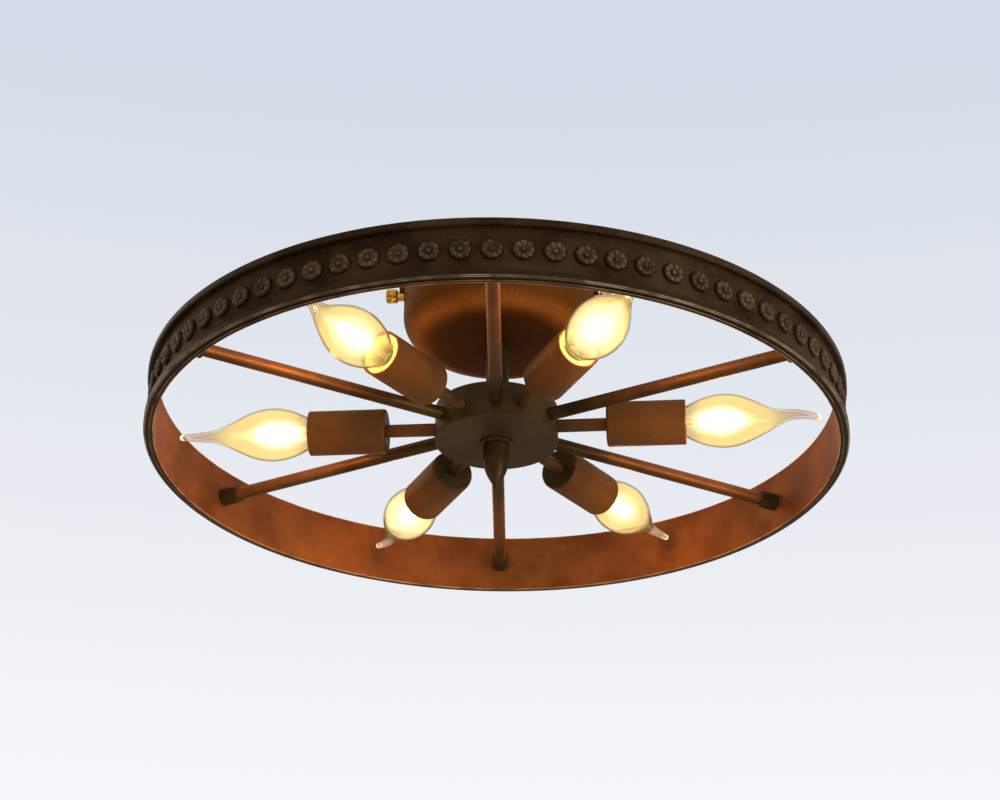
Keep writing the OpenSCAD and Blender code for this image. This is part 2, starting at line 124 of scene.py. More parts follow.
def watts(name, text, default, high):
    return FloatProperty(name=name, description=text, default=default, min=0, max=high,
                         subtype="POWER", unit="POWER")


def tint(name, text, *rgb):
    return FloatVectorProperty(name=name, description=text, default=srgb(*rgb), min=0, max=1,
                               size=3, subtype="COLOR")


class WheelLightSizes(bpy.types.PropertyGroup):
    """Sizes of the fine pieces"""
    rosette_count: IntProperty(name="Rosettes", description="Rosettes round the rim",
                               default=78, min=60, max=84)
    petal_count: IntProperty(name="Petals", description="Petals of a rosette",
                             default=8, min=5, max=12)
    glass_width: length("Glass width", "Widest part of a bulb's glass", 37, 32, 40)
    glass_wall: length("Glass wall", "Wall of a bulb's glass", 0.8, 0.5, 1.2)
    tail_width: length("Tail width", "Width of the glass tail where it begins", 7.2, 5, 9)
    tip_width: length("Tip width", "Width of the glass tail near its tip", 4.4, 3, 5)
    tail_bend: length("Tail bend", "How far the glass tail bends off the bulb's axis", 3.3, 0, 6)
    filament_width: length("Filament width", "Width of a filament stick", 2.4, 0.8, 2.4)
    filament_spread: length("Filament spread", "Distance of a filament stick from the bulb's axis",
                            3.6, 2.6, 5)
    thread_pitch: length("Thread pitch", "Rise of a lamp cap's thread in one turn", 2.822, 2.5, 3)
    thread_depth: length("Thread depth", "Depth of a lamp cap's rolled thread", 0.7, 0.3, 0.9)
    knob_ridges: IntProperty(name="Knob ridges", description="Ridges round a side screw's knob",
                             default=10, min=6, max=24)


class WheelLightColours(bpy.types.PropertyGroup):
    """Colours of the finishes"""
    bronze_dark: tint("Dark bronze", "Shaded parts of the painted bronze", 38, 25, 12)
    bronze_olive: tint("Olive bronze", "Lit parts of the painted bronze", 64, 49, 30)
    hoop_brown: tint("Hoop brown", "Lit parts of the lower hoop", 44, 31, 16)
    # Painted highlight: light caught on the rim's edges, and in patches on the rosettes' tops
    bronze_highlight: tint("Edge highlight", "Highlight painted on the rim's edges and the rosettes' tops", 176, 150, 116)
    # Painted light: the orange of the bulbs' light on the rim's inside, in a dim and a bright tone
    inside_lamplight_dim: tint("Dim inside lamplight", "Dim parts of the bulbs' orange light painted on the rim's inside", 112, 60, 28)
    inside_lamplight_bright: tint("Bright inside lamplight", "Bright parts of the bulbs' orange light painted on the rim's inside", 142, 78, 38)
    # Painted highlight: light caught on the rim's inside edges
    inside_highlight: tint("Inside edge highlight", "Highlight painted on the rim's inside edges", 226, 160, 92)
    rust: tint("Rust", "Flecks of rust brown in the bronze", 112, 62, 30)
    # Painted light: the red-brown of the bulbs' light on the spokes
    spoke_lamplight: tint("Spoke brown", "Red-brown of the bulbs' light painted on the spokes", 166, 96, 50)
    cup_brown: tint("Cup brown", "Shaded parts of the lamp cups, lit ones of the arms", 120, 70, 34)
    cup_light: tint("Light cup brown", "Lit parts of the lamp cups", 138, 82, 40)
    hub_brown: tint("Hub brown", "Olive brown of the hub and its knob", 76, 56, 26)
    # Painted light and shade on the canopy: the bulbs' orange light on its wall, the hub's shadow on
    # its flat bottom
    canopy_lamplight: tint("Canopy brown", "Orange brown of the bulbs' light painted on the canopy's wall", 168, 98, 38)
    canopy_shade: tint("Canopy shade", "Dark brown of the painted shade on the canopy's flat bottom and upper wall", 38, 22, 8)
    brass: tint("Brass", "Side screws, contacts and cap shells", 214, 164, 74)
    zinc: tint("Zinc", "Plated bracket, nuts and screws", 172, 175, 180)
    holder: tint("Lampholder", "Glazed body of the lampholders", 246, 242, 170)
    plastic: tint("Terminal block", "Moulded terminal block", 226, 221, 205)
    insulator: tint("Cap insulator", "Dark ring round a cap's end contact", 38, 34, 30)
    amber: tint("Amber light", "Light of the glass round its filament", 255, 227, 146)
    neck_light: tint("Neck light", "Light of the glass at a bulb's neck", 238, 222, 84)
    tail_light: tint("Tail light", "Light that the glass leads to its tail", 255, 214, 178)
    glass_body: tint("Glass body", "Colour of the glass itself", 72, 60, 38)
    glass_edge: tint("Glass edge", "Colour of the glass where it is seen edge on", 74, 66, 48)
    glass_shade: tint("Glass shade", "Colour that its edge gives what is behind it", 206, 198, 176)
    glass_tint: tint("Glass tint", "Colour that the glass gives what is behind it", 252, 246, 228)
    tail_tint: tint("Tail tint", "Colour that the tail gives what is behind it", 252, 242, 236)
    stem_body: tint("Stem glass", "Colour of the clear stem in a bulb", 232, 226, 205)
    stem_tint: tint("Stem tint", "Colour that the stem gives what is behind it", 250, 246, 235)
    glow: tint("Filament light", "Light of the filament sticks", 255, 236, 190)


class WheelLightStage(bpy.types.PropertyGroup):
    """Floor, backdrop, light and camera"""
    backdrop_high: tint("Backdrop, high", "Background above the light", 213, 220, 231)
    backdrop_low: tint("Backdrop, low", "Background below the light", 246, 247, 250)
    floor_colour: tint("Floor", "Plain pale floor", 232, 234, 236)
    floor_drop: distance("Floor drop", "Ceiling to floor", 2.4, 1.8, 4)
    ambient: FloatProperty(name="Ambient", description="Strength of the light from all round",
                           default=0.50, min=0, max=2)
    key_power: watts("Key lamp", "Power of the soft lamp at the right", 34, 200)
    fill_power: watts("Fill lamp", "Power of the soft lamp at the back left", 5, 200)
    filament_power: FloatProperty(name="Filament light", default=24, min=0, max=400,
                                  description="Strength of the filament sticks")
    bulb_power: watts("Bulb light", "Power of the light of one bulb", 0.30, 5)
    bulb_light: tint("Bulb light colour", "Warm light of the bulbs", 255, 205, 140)
    camera_distance: distance("Camera distance", "Camera to the wheel's centre", 1.6048, 0.8, 4)


# ---------------------------------------------------------------- shapes

class Shape:
    """Points and faces gathered from lofted parts, made into one mesh at the end."""

    def __init__(self):
        self.points, self.faces, self.coats = [], [], []

    def loft(self, rings, coat=0, place=ORIGIN):
        """Skins rings of points one after the other. A ring of one point closes an end."""
        starts = []
        for ring in rings:
            starts.append(len(self.points))
            self.points.extend(place @ Vector(point) for point in ring)
        for i in range(len(rings) - 1):
            a, b = starts[i], starts[i + 1]
            before, after = len(rings[i]), len(rings[i + 1])
            around = max(before, after)
            for j in range(around):
                following = (j + 1) % around
                if before == 1:
                    face = (a, b + following, b + j)
                elif after == 1:
                    face = (a + j, a + following, b)
                else:
                    face = (a + j, a + following, b + following, b + j)
                self.faces.append(face)
                self.coats.append(coat)

    def turn(self, profile, segments, coat, place=ORIGIN):
        """A turned form from (radius, height) points. A radius of 0 is a point on the axis."""
        rings = [wavy_ring(z, segments, lambda a: r) if r else [(0, 0, z)] for r, z in profile]
        self.loft(rings, coat, place)

    def piece(self, name, materials, body, slot, *replaced, sharp=35):
        """The mesh as an object that rides on a body and stands for CAD nodes."""
        mesh = bpy.data.meshes.new(name)
        mesh.from_pydata(self.points, [], self.faces)
        for material in materials:
            mesh.materials.append(material)
        mesh.polygons.foreach_set("material_index", self.coats)
        mesh.shade_smooth()
        mesh.set_sharp_from_angle(angle=math.radians(sharp))
        mesh.validate()
        mesh.update()
        made = bpy.data.objects.new(name, mesh)
        bpy.context.scene.collection.objects.link(made)
        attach(made, body)
        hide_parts(*replaced)
        return made


def angles(count):
    return [2 * math.pi * i / count for i in range(count)]


def wavy_ring(z, segments, reach):
    """A ring of points at a height. reach gives its radius at each angle."""
    return [(reach(a) * math.cos(a), reach(a) * math.sin(a), z) for a in angles(segments)]


def steps(start, end, count, crowding=1.0):
    """count + 1 values from start to end, crowded towards the start where crowding is over 1."""
    return [start + (end - start) * (i / count) ** crowding for i in range(count + 1)]


def in_metres(*profile):
    """(radius, height) points in millimetres, for Shape.turn."""
    return [(r * MM, z * MM) for r, z in profile]


# ---------------------------------------------------------------- finishes

# Noise scales in waves a metre, from broad clouds down to the grain of the paint
CLOUDS, PATCHES, DENTS, FLECKS, PITS, GRAIN = 26, 45, 240, 310, 900, 1400


def add_node(tree, kind, values, settings):
    """A shader node with its inputs linked to sockets or set to values."""
    node = tree.nodes.new("ShaderNode" + kind)
    for key, value in settings.items():
        setattr(node, key, value)
    for key, value in values.items():
        socket = node.inputs[key]
        if isinstance(value, bpy.types.NodeSocket):
            tree.links.new(value, socket)
        elif socket.type == "RGBA":
            socket.default_value = (*value, 1)
        else:
            socket.default_value = value
    return node


def dimmed(colour, *shares):
    """A colour cut to one share, or its red, green and blue to three."""
    return tuple(value * share for value, share in zip(colour, shares * (3 // len(shares))))


class Finish:
    """A material's node tree, built one node at a time."""

    def __init__(self, name):
        self.material = bpy.data.materials.new(name)
        self.material.use_nodes = True
        self.tree = self.material.node_tree
        self.tree.nodes.clear()
        self.place = self.add("TexCoord").outputs["Object"]

    def add(self, kind, values=None, **settings):
        return add_node(self.tree, kind, values or {}, settings)

    def noise(self, scale, detail=3.0, rough=0.55, stretch=None):
        """Noise from 0 to 1. Its scale is in waves a metre."""
        place = self.place
        if stretch:
            place = self.add("VectorMath", {0: place, 1: stretch}, operation="MULTIPLY").outputs[0]
        return self.add("TexNoise", {"Vector": place, "Scale": scale, "Detail": detail,
                                     "Roughness": rough}).outputs["Fac"]

    def ramp(self, value, low, high, bottom=0.0, top=1.0):
        """Goes smoothly from bottom to top as value goes from low to high."""
        return self.add("MapRange", {"Value": value, "From Min": low, "From Max": high,
                                     "To Min": bottom, "To Max": top},
                        interpolation_type="SMOOTHSTEP").outputs["Result"]

    def math(self, operation, first, second=0.0):
        return self.add("Math", {0: first, 1: second}, operation=operation).outputs[0]

    def fold(self, operation, values):
        """One operation over several values, left to right."""
        total = values[0]
        for value in values[1:]:
            total = self.math(operation, total, value)
        return total

    def times(self, *values):
        return self.fold("MULTIPLY", values)

    def plus(self, *values):
        return self.fold("ADD", values)

    def mix(self, share, first, second):
        """first where share is 0, second where it is 1."""
        return self.add("Mix", {0: share, 6: first, 7: second}, data_type="RGBA").outputs[2]

    def radius(self):
        """Distance from the object's Z axis: the light's upright axis, or a bulb's own."""
        flat = self.add("VectorMath", {0: self.place, 1: (1, 1, 0)}, operation="MULTIPLY")
        return self.add("VectorMath", {0: flat.outputs[0]}, operation="LENGTH").outputs["Value"]

    def height(self):
        """Distance along the object's Z axis."""
        return self.add("SeparateXYZ", {0: self.place}).outputs["Z"]

    def near_edge(self, r, z, width):
        """1 on an edge that runs round the upright axis, falling to 0 at this distance from it."""
        out = self.math("SUBTRACT", self.radius(), r)
        up = self.math("SUBTRACT", self.height(), z)
        off = self.math("SQRT", self.plus(self.times(out, out), self.times(up, up)))
        return self.ramp(off, 0.3 * width, width, 1, 0)

    def bump(self, height, depth, strength=1.0):
        """Relief of a depth in metres."""
        return self.add("Bump", {"Height": height, "Distance": depth,
                                 "Strength": strength}).outputs["Normal"]

    def surface(self, **values):
        """Closes the tree with one shader. An underscore in a name stands for a space."""
        sockets = {key.replace("_", " "): value for key, value in values.items()}
        return self.close(self.add("BsdfPrincipled", sockets).outputs[0])

    def close(self, shader):
        self.add("OutputMaterial", {"Surface": shader})
        return self.material


WARM_GLOSS = (0.80, 0.55, 0.30)      # tint of the gloss on the painted bronze


def bronze(name, dark, light, rust, rough=0.5, metal=0.35, gloss=0.2, turn=None, edges=()):
    """Painted bronze: clouds of two browns, faint flecks of rust, a fine grain and painted
    highlights along edges.

    turn gives (share, dark, light), two more browns for where the share is 1, where light and shade
    are painted.
    edges gives (radius, height, width, colour) of painted highlights along edges that run round the
    light's upright axis.
    """
    coat = Finish(name)
    clouds = coat.ramp(coat.noise(CLOUDS, 4), 0.32, 0.68)
    colour = coat.mix(clouds, dark, light)
    if turn:
        where, other_dark, other_light = turn
        colour = coat.mix(where(coat), colour, coat.mix(clouds, other_dark, other_light))
    flecks = coat.ramp(coat.noise(FLECKS, 4, 0.62), 0.52, 0.72, 0, 0.3)
    colour = coat.mix(flecks, colour, rust)
    pits = coat.ramp(coat.noise(PITS, 2), 0.58, 0.74)
    colour = coat.mix(coat.times(pits, 0.4), colour, dark)
    patchy = coat.ramp(coat.noise(PATCHES, 4), 0.36, 0.62, 0.25, 1)
    # Painted highlights along the edges, broken up in patches
    for r, z, width, highlight_colour in edges:
        colour = coat.mix(coat.times(coat.near_edge(r, z, width), patchy), colour, highlight_colour)
    grain = coat.noise(GRAIN, 3)
    shine = coat.plus(coat.ramp(grain, 0.3, 0.7, rough - 0.06, rough + 0.10),
                      coat.times(flecks, 0.3))
    relief = coat.plus(coat.times(grain, 0.35), coat.noise(DENTS, 3))
    return coat.surface(Base_Color=colour, Metallic=metal, Roughness=shine,
                        Specular_IOR_Level=gloss, Specular_Tint=WARM_GLOSS,
                        Normal=coat.bump(relief, 0.08 * MM, 0.6))


def plated(name, colour, rough=0.28, brush=(1, 1, 30)):
    """Bright metal with fine lines, square to the axis along which brush is greatest."""
    coat = Finish(name)
    lines = coat.noise(120, 4, 0.6, brush)
    shade = coat.mix(coat.ramp(lines, 0.3, 0.75), colour, dimmed(colour, 0.62))
    shine = coat.ramp(lines, 0.3, 0.7, rough - 0.08, rough + 0.12)
    return coat.surface(Base_Color=shade, Metallic=1.0, Roughness=shine,
                        Normal=coat.bump(lines, 0.02 * MM, 0.6))


def moulded(name, colour, rough, gloss=0.0):
    """Moulded or glazed body with a faint orange-peel."""
    coat = Finish(name)
    peel = coat.noise(420, 2)
    stain = coat.ramp(coat.noise(55, 4), 0.42, 0.75, 0, 0.5)
    return coat.surface(Base_Color=coat.mix(stain, colour, dimmed(colour, 0.86, 0.80, 0.66)),
                        Roughness=coat.ramp(peel, 0.3, 0.7, rough, rough + 0.1),
                        Coat_Weight=gloss, Normal=coat.bump(peel, 0.03 * MM, 0.5))


def paint(material, *names):
    """Gives CAD nodes a finish."""
    for name in names:
        for holder in NODES[name].material_slots:
            holder.material = material


def each(name):
    return [f"{name}_{k}" for k in LAMPS]


# ---------------------------------------------------------------- rim

class WHEEL_LIGHT_OT_rim(bpy.types.Operator):
    """Coat the rim: the bulbs' orange light painted on its inside, a dark bronze outside and two
    hoops, with painted highlights along the edges
    """
    bl_idname = "wheel_light.rim"
    bl_label = "Rim and hoops"

    def execute(self, context):
        c = context.scene.wheel_light_colours
        hoop_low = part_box("lower_hoop")[0].z

        # The rim's inside, where the bulbs' orange light is painted over the bronze
        def lamplit_inside(coat):
            return coat.ramp(coat.radius(), BAND_INSIDE + 0.1 * MM, BAND_INSIDE + 0.5 * MM, 1, 0)

        # Painted highlights along the band's inside and outside edges
        edges = [(BAND_INSIDE, BAND_LOW.z, 0.7 * MM, c.inside_highlight),
                 (BAND_R, BAND_LOW.z, 0.5 * MM, c.bronze_highlight),
                 (BAND_INSIDE, BAND_HIGH.z, 0.6 * MM, c.inside_highlight),
                 (BAND_R, BAND_HIGH.z, 0.4 * MM, c.bronze_highlight)]
        paint(bronze("band_bronze", c.bronze_dark, c.bronze_olive, c.rust, gloss=0.08,
                     turn=(lamplit_inside, c.inside_lamplight_dim, c.inside_lamplight_bright), edges=edges), "rim_band")
        bevel = 0.8 * MM
        # Painted highlights along the lower hoop's bevel
        edges = [(HOOP_R - bevel, hoop_low, 0.5 * MM, c.bronze_highlight),
                 (HOOP_R, hoop_low + bevel, 0.4 * MM, c.bronze_highlight)]
        paint(bronze("hoop_bronze", c.bronze_dark, c.hoop_brown, c.rust, rough=0.46, metal=0.4,
                     edges=edges), "lower_hoop")
        paint(bronze("top_hoop_bronze", c.bronze_dark, c.bronze_olive, c.rust, rough=0.46,
                     metal=0.4), "upper_hoop")
        return {"FINISHED"}


# ---------------------------------------------------------------- rosettes

# A flower's bead and the top of its petals, as shares of its radius
BEAD, CREST = 0.24, 0.74
FLOWER_RINGS = (1.0, 0.985, 0.96, 0.92, 0.87, 0.81, 0.74, 0.66, 0.57, 0.48, 0.39, 0.31,
                0.24, 0.235, 0.21, 0.17, 0.12, 0.06)
FIRST_ROSETTE = 30       # degrees round the rim, over the first spoke
FLOWER_GAP = 0.15 * MM   # between the band and a flower's flat back


def flower_relief(share, lobe):
    """Height of a flower at a share of its radius. lobe is 1 along a petal and 0 between two."""
    if share <= BEAD:
        return 0.52 + 0.48 * math.sqrt(max(0, 1 - (share / BEAD) ** 2))
    if share <= CREST:
        rise = math.sin(math.pi / 2 * (share - BEAD) / (CREST - BEAD))
        return 0.46 + rise * (0.26 + 0.24 * lobe)
    fall = math.cos(math.pi / 2 * (share - CREST) / (1 - CREST)) ** 0.7
    return 0.08 + fall * (0.64 + 0.24 * lobe)


def flower_ring(radius, share, height, petals):
    """A ring of a flower at a share of its radius, scalloped by its petals."""
    ring = []
    for a in angles(petals * 8):
        lobe = abs(math.cos(petals * a / 2))
        reach = radius * share * (0.95 + 0.05 * lobe ** 0.6)
        ring.append((reach * math.cos(a), reach * math.sin(a),
                     height * flower_relief(share, lobe ** 0.8)))
    return ring


def rosette_rings(radius, height, petals):
    """One pressed flower, face up: a flat back, plump petals and a round bead in a hollow."""
    rings = [[(0, 0, 0)], flower_ring(radius, 0.97, 0, petals)]
    rings += [flower_ring(radius, share, height, petals) for share in FLOWER_RINGS]
    rings.append([(0, 0, height)])
    return rings


def rosette_bronze(c):
    """Bronze with painted shade in the hollows of the relief and a painted highlight in patches on
    its tops.
    """
    coat = Finish("rosette_bronze")
    out = coat.radius()
    top = coat.ramp(out, BAND_R + 1.7 * MM, BAND_R + 2.95 * MM)
    clouds = coat.ramp(coat.noise(30, 4), 0.36, 0.64)
    colour = coat.mix(clouds, c.bronze_dark, c.bronze_olive)
    # Painted shade in the hollows of the relief
    hollow = coat.ramp(out, BAND_R + 0.6 * MM, BAND_R + 1.9 * MM, 0.75, 0)
    colour = coat.mix(hollow, colour, dimmed(c.bronze_dark, 0.4))
    # Painted highlight in patches on the tops of the relief
    top_highlight = coat.times(top, coat.ramp(coat.noise(160, 3), 0.35, 0.65, 0.05, 0.42))
    colour = coat.mix(top_highlight, colour, dimmed(c.bronze_highlight, 0.5))
    grain = coat.noise(1300, 3)
    return coat.surface(Base_Color=colour, Metallic=0.4,
                        Roughness=coat.ramp(grain, 0.3, 0.7, 0.40, 0.58), Specular_IOR_Level=0.3,
                        Specular_Tint=WARM_GLOSS, Normal=coat.bump(grain, 0.05 * MM, 0.7))


class WHEEL_LIGHT_OT_rosettes(bpy.types.Operator):
    """Set a pressed flower over each plain stud round the rim"""
    bl_idname = "wheel_light.rosettes"
    bl_label = "Rosettes"

    def execute(self, context):
        s, c = context.scene.wheel_light_sizes, context.scene.wheel_light_colours
        radius = (ROSETTE_HIGH.z - ROSETTE_LOW.z) / 2
        seat = BAND_R + FLOWER_GAP
        rings = rosette_rings(radius, ROSETTE_HIGH.y - seat, s.petal_count)
        # Each flower is turned and pressed a little differently
        hand = random.Random(7)
        flowers = Shape()
        for i in range(s.rosette_count):
            around = math.radians(FIRST_ROSETTE + 360 * i / s.rosette_count)
            place = (Matrix.Translation((0, 0, WHEEL_Z)) @ Matrix.Rotation(around, 4, "Z")
                     @ Matrix.Rotation(math.pi / 2, 4, "Y") @ Matrix.Translation((0, 0, seat))
                     @ Matrix.Rotation(hand.uniform(0, math.pi), 4, "Z")
                     @ Matrix.Diagonal((1, 1, hand.uniform(0.90, 1.0), 1)))
            flowers.loft(rings, 0, place)
        coat = rosette_bronze(c)
        flowers.piece("rosette_flowers", [coat], "fixture", "dark_bronze", "rosettes", sharp=50)
        return {"FINISHED"}


# ---------------------------------------------------------------- spokes, hub and canopy

class WHEEL_LIGHT_OT_spokes(bpy.types.Operator):
    """Coat the spokes and the collars at their rim ends"""
    bl_idname = "wheel_light.spokes"
    bl_label = "Spokes and collars"

    def execute(self, context):
        c = context.scene.wheel_light_colours

        def lamplit_share(coat):
            # Painted light and shade: redder from the hub out to the rim, where the bulbs light the
            # spokes, and less so along the shaded underside
            underside_shade = coat.ramp(coat.height(), WHEEL_Z - 4.3 * MM, WHEEL_Z - 2.0 * MM, 0.35, 1)
            return coat.times(underside_shade, coat.ramp(coat.radius(), 55 * MM, 165 * MM))

        paint(bronze("spoke_bronze", c.bronze_dark, c.hub_brown, c.rust, rough=0.40, metal=0.5,
                     gloss=0.15, turn=(lamplit_share, dimmed(c.spoke_lamplight, 0.72), c.spoke_lamplight)),
              *each("spoke"))
        paint(bronze("collar_bronze", c.bronze_olive, c.hub_brown, c.rust, rough=0.45),
              "rim_collars")
        paint(plated("screw_zinc", c.zinc), "rim_screws")
        return {"FINISHED"}


class WHEEL_LIGHT_OT_hub(bpy.types.Operator):
    """Coat the hub drum, its cover, the turned knob below it and the nuts inside"""
    bl_idname = "wheel_light.hub"
    bl_label = "Hub and knob"

    def execute(self, context):
        c = context.scene.wheel_light_colours
        paint(bronze("hub_bronze", c.bronze_olive, c.hub_brown, c.rust, gloss=0.1),
              "hub_drum", "hub_cover")
        paint(bronze("knob_bronze", c.bronze_dark, c.hub_brown, c.rust, rough=0.42, metal=0.5),
              "finial")
        paint(plated("nut_zinc", c.zinc), "hub_nuts")
        return {"FINISHED"}


class WHEEL_LIGHT_OT_canopy(bpy.types.Operator):
    """Coat the canopy, the neck and what holds them to the ceiling"""
    bl_idname = "wheel_light.canopy"
    bl_label = "Canopy and neck"

    def execute(self, context):
        c = context.scene.wheel_light_colours
        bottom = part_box("canopy")[0].z

        def lamplit_wall(coat):
            # Painted light: the bulbs' orange light, strongest low on the wall and a little on the
            # edge of the flat bottom; elsewhere the canopy keeps its painted shade
            flat = coat.times(coat.ramp(coat.radius(), 38 * MM, 62 * MM), 0.3)
            wall = coat.times(coat.ramp(coat.height(), bottom - 2 * MM, bottom + 5 * MM),
                              coat.ramp(coat.height(), bottom + 1 * MM, bottom + 15 * MM, 1, 0.24))
            return coat.math("MAXIMUM", flat, wall)

        # The canopy is painted shade all over, with the bulbs' orange light painted on its wall
        paint(bronze("canopy_bronze", c.canopy_shade, c.canopy_shade, c.bronze_dark, metal=0.3,
                     gloss=0.03, turn=(lamplit_wall, dimmed(c.canopy_lamplight, 0.8), c.canopy_lamplight)),
              "canopy")
        paint(bronze("neck_bronze", c.bronze_dark, c.hub_brown, c.rust, rough=0.45), "neck_sleeve")
        paint(plated("bracket_zinc", c.zinc, brush=(1, 30, 1)), "ceiling_bracket")
        paint(plated("tube_zinc", c.zinc), "centre_tube", "tube_nuts")
        paint(moulded("block_plastic", c.plastic, 0.4), "terminal_block")
        return {"FINISHED"}


# A side screw, inward from the end of its knob: the knob, its collar and the threaded shank
KNOB_LENGTH = 9 * MM
COLLAR_IN, COLLAR_R = 13.4 * MM, 3.6 * MM
SHANK_IN, SHANK_R = 23.7 * MM, 2 * MM
# The knob's ridged side and its smooth end, as (share of its radius, mm from its foot)
KNOB_SIDE = ((0.86, 0.3), (0.96, 0.8), (1.0, 1.4), (1.0, 7.4), (0.96, 8.0))
KNOB_END = ((0.74, 8.4), (0.68, 8.2), (0.60, 8.3), (0.38, 8.8), (0.16, 9.0))
RIDGE_DEPTH = 0.24


class WHEEL_LIGHT_OT_side_screws(bpy.types.Operator):
    """Turn the two brass side screws, with ridged knobs"""
    bl_idname = "wheel_light.side_screws"
    bl_label = "Side screws"

    def execute(self, context):
        s, c = context.scene.wheel_light_sizes, context.scene.wheel_light_colours
        knob_r = (SCREW_HIGH.z - SCREW_LOW.z) / 2
        middle = (SCREW_HIGH.z + SCREW_LOW.z) / 2
        tip = SCREW_HIGH.x
        foot, collar, shank = tip - KNOB_LENGTH, tip - COLLAR_IN, tip - SHANK_IN
        ease = 0.2 * MM
        stem = [(SHANK_R - 2 * ease, shank), (SHANK_R, shank + 0.5 * MM), (SHANK_R, collar),
                (COLLAR_R - ease, collar), (COLLAR_R, collar + ease), (COLLAR_R, foot + ease)]

        def ring(z, share, deep=0.0):
            def reach(a):
                return knob_r * (share - deep * (0.5 - 0.5 * math.cos(s.knob_ridges * a)))
            return wavy_ring(z, s.knob_ridges * 12, reach)

        rings = [[(0, 0, shank)]] + [ring(z, r / knob_r) for r, z in stem]
        rings += [ring(foot + up * MM, share, RIDGE_DEPTH) for share, up in KNOB_SIDE]
        rings += [ring(foot + up * MM, share) for share, up in KNOB_END]
        rings.append([(0, 0, tip)])
        screws = Shape()
        for side in (0, math.pi):
            place = (Matrix.Translation((0, 0, middle)) @ Matrix.Rotation(side, 4, "Z")
                     @ Matrix.Rotation(math.pi / 2, 4, "Y"))
            screws.loft(rings, 0, place)
        brass = plated("knob_brass", c.brass, 0.22)
        screws.piece("side_screws", [brass], "fixture", "brass", "canopy_screws")
        return {"FINISHED"}


# ---------------------------------------------------------------- lampholders

class WHEEL_LIGHT_OT_lampholders(bpy.types.Operator):
    """Coat the arms, cups, lampholders and their sprung contacts"""
    bl_idname = "wheel_light.lampholders"
    bl_label = "Arms, cups and lampholders"

    def execute(self, context):
        c = context.scene.wheel_light_colours
        paint(bronze("arm_bronze", c.bronze_olive, c.cup_brown, c.rust, rough=0.42, metal=0.5),
              "lamp_arms")

        def shaded_back(coat):
            # Painted shade: olive on the flat back and half olive on the side, fading towards the
            # mouth, where the cups keep the lit browns of the bulbs' light
            flat = coat.ramp(coat.radius(), 76.6 * MM, 78.6 * MM, 1, 0)
            side = coat.times(coat.ramp(coat.radius(), 82 * MM, 122 * MM, 1, 0), 0.5)
            return coat.math("MAXIMUM", flat, side)

        paint(bronze("cup_bronze", c.cup_brown, c.cup_light, c.rust, rough=0.46, gloss=0.03,
                     turn=(shaded_back, c.bronze_olive, c.hub_brown)), *each("cup"))
        paint(moulded("holder_glaze", c.holder, 0.25, 0.4), *each("lampholder"))
        paint(plated("contact_brass", c.brass), *each("contact_pin"))
        return {"FINISHED"}


# ---------------------------------------------------------------- bulbs

# Stretches along a bulb over which each part of its glass begins or ends
NECK_ENDS = (22 * MM, 32 * MM)
BODY_BEGINS, BODY_ENDS = (26 * MM, 44 * MM), (84 * MM, 106 * MM)
BEAM_BEGINS, BEAM_ENDS = (24 * MM, 32 * MM), (76 * MM, 104 * MM)
BEAM_NARROWS = (34 * MM, 60 * MM)
TAIL_BEGINS = (94 * MM, 106 * MM)
TIP_BEGINS = (BULB_LENGTH - 3.8 * MM, BULB_LENGTH - 2.2 * MM)
HEART_AT = 54 * MM
# How far the blurred white round the sticks runs along a bulb, and how fast it fades sideways
BLUR = {"tight": (31 * MM, 3.7), "soft": (47 * MM, 1.9), "wide": (58 * MM, 1.15)}
BLUR_OF = dict(zip(LAMPS, ("tight", "soft", "wide") * 2))


